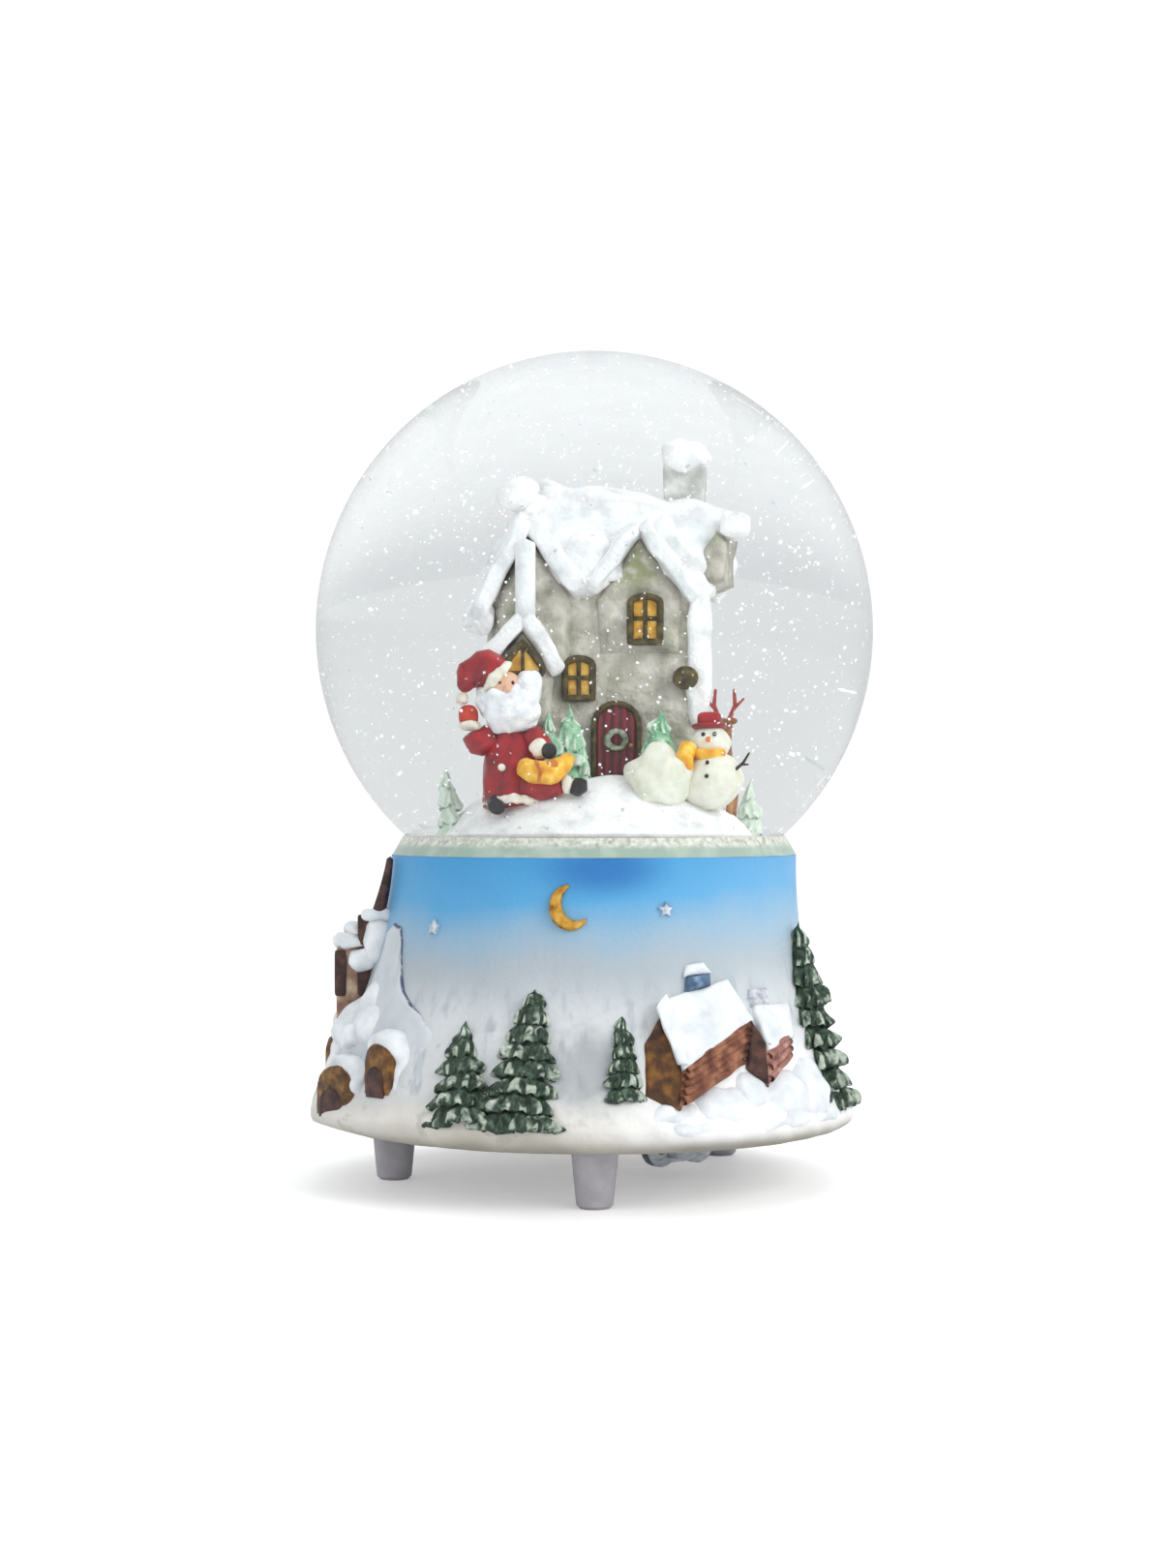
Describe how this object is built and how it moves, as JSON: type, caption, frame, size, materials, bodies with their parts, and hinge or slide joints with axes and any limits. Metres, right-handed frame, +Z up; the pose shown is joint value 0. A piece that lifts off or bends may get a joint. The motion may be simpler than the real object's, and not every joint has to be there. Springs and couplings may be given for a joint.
{
  "type": "musical snow globe",
  "caption": "Water-filled glass ball with a snowy cottage scene on a flared relief base that hides a wind-up comb movement; it stands on short pegs.",
  "frame": {"origin": "on the globe's vertical axis, at the level of the surface that the feet stand on", "axes": "+Z up through the globe, -Y towards the front of the scene, +X to the right as seen from the front"},
  "size_m": [0.1004, 0.1, 0.148],
  "materials": {
    "base_paint": "hand-painted resin, sky blue fading to white",
    "ring_cream": "satin cream",
    "clear_glass": "polished",
    "stopper_rubber": "moulded",
    "water": "clear liquid",
    "snow_flakes": "loose white film flakes",
    "scene_snow": "painted resin with frost glitter",
    "cottage_wall": "painted resin, rough render",
    "chimney_grey": "painted resin, stonework",
    "door_red": "painted resin",
    "window_gold": "painted resin panes, satin",
    "coat_red": "painted resin",
    "parcel_yellow": "painted resin",
    "reindeer_brown": "painted resin",
    "shrub_green": "painted resin with frost",
    "gilt_paint": "gold paint, satin",
    "silver_paint": "silver-white paint",
    "pine_paint": "dark green paint, dry-brushed white",
    "cabin_paint": "brown wash over resin",
    "village_paint": "golden brown wash over resin",
    "relief_snow": "white paint with glitter",
    "plate_plastic": "moulded, fine texture",
    "screw_steel": "zinc plated",
    "foot_plastic": "translucent milky grey",
    "zinc_cast": "die-cast zinc, matt",
    "comb_steel": "ground spring steel",
    "brass": "turned",
    "spring_steel": "blued",
    "key_steel": "nickel plated",
    "bracket_steel": "pressed sheet",
    "wheel_nylon": "moulded"
  },
  "bodies": {
    "root": {"base_casting": "base_paint", "seat_ring": "ring_cream", "glass_globe": "clear_glass", "rubber_stopper": "stopper_rubber", "water_fill": "water", "settled_snow": "snow_flakes", "scene_ground": "scene_snow", "cottage_walls": "cottage_wall", "cottage_roof": "scene_snow", "cottage_chimney": "chimney_grey", "cottage_door": "door_red", "cottage_windows": "window_gold", "porch_gable": "cottage_wall", "waving_figure": "coat_red", "gift_parcel": "parcel_yellow", "snowman": "scene_snow", "reindeer": "reindeer_brown", "garden_shrubs": "shrub_green", "moon_relief": "gilt_paint", "star_reliefs": "silver_paint", "front_pines": "pine_paint", "side_pine": "pine_paint", "back_pines": "pine_paint", "cabin_relief": "cabin_paint", "cabin_snow": "relief_snow", "village_relief": "village_paint", "village_snow": "relief_snow", "hill_relief": "relief_snow", "bottom_plate": "plate_plastic", "plate_screws": "screw_steel", "front_foot": "foot_plastic", "left_foot": "foot_plastic", "back_foot": "foot_plastic", "bedplate": "zinc_cast", "bed_screws": "screw_steel", "comb": "comb_steel", "comb_screws": "screw_steel", "spring_housing": "brass", "housing_screws": "screw_steel", "mainspring": "spring_steel", "right_bracket": "bracket_steel", "left_bracket": "bracket_steel", "bracket_screws": "screw_steel", "governor_frame": "bracket_steel", "governor_screws": "screw_steel"},
    "key": {"winding_key": "key_steel", "winding_arbor": "screw_steel", "great_wheel": "brass"},
    "cylinder": {"pinned_cylinder": "brass", "cylinder_arbor": "screw_steel", "cylinder_pinion": "brass", "cylinder_gear": "brass"},
    "worm_wheel": {"worm_wheel": "wheel_nylon", "worm_wheel_arbor": "screw_steel"},
    "fan": {"worm": "brass", "fan_spindle": "screw_steel", "air_fan": "bracket_steel"}
  },
  "joints": [
    {"name": "key_turn", "type": "hinge", "parent": "root", "child": "key", "pos_m": [0.015, 0, 0], "axis": [0, 0, 1], "range_deg": [0, 1890], "stiffness_Nm_per_rad": 0.0012, "springref_deg": -359.82},
    {"name": "cylinder_spin", "type": "hinge", "parent": "root", "child": "cylinder", "pos_m": [0, 0, 0.02528], "axis": [1, 0, 0], "continuous": true},
    {"name": "worm_wheel_spin", "type": "hinge", "parent": "root", "child": "worm_wheel", "pos_m": [0, 0.00875, 0.02528], "axis": [1, 0, 0], "continuous": true},
    {"name": "fan_spin", "type": "hinge", "parent": "root", "child": "fan", "pos_m": [-0.01905, 0.01421, 0], "axis": [0, 0, 1], "continuous": true}
  ],
  "couplings": [
    {"joint": "cylinder_spin", "follows": "key_turn", "ratio": -2},
    {"joint": "worm_wheel_spin", "follows": "key_turn", "ratio": 8},
    {"joint": "fan_spin", "follows": "key_turn", "ratio": -192}
  ]
}
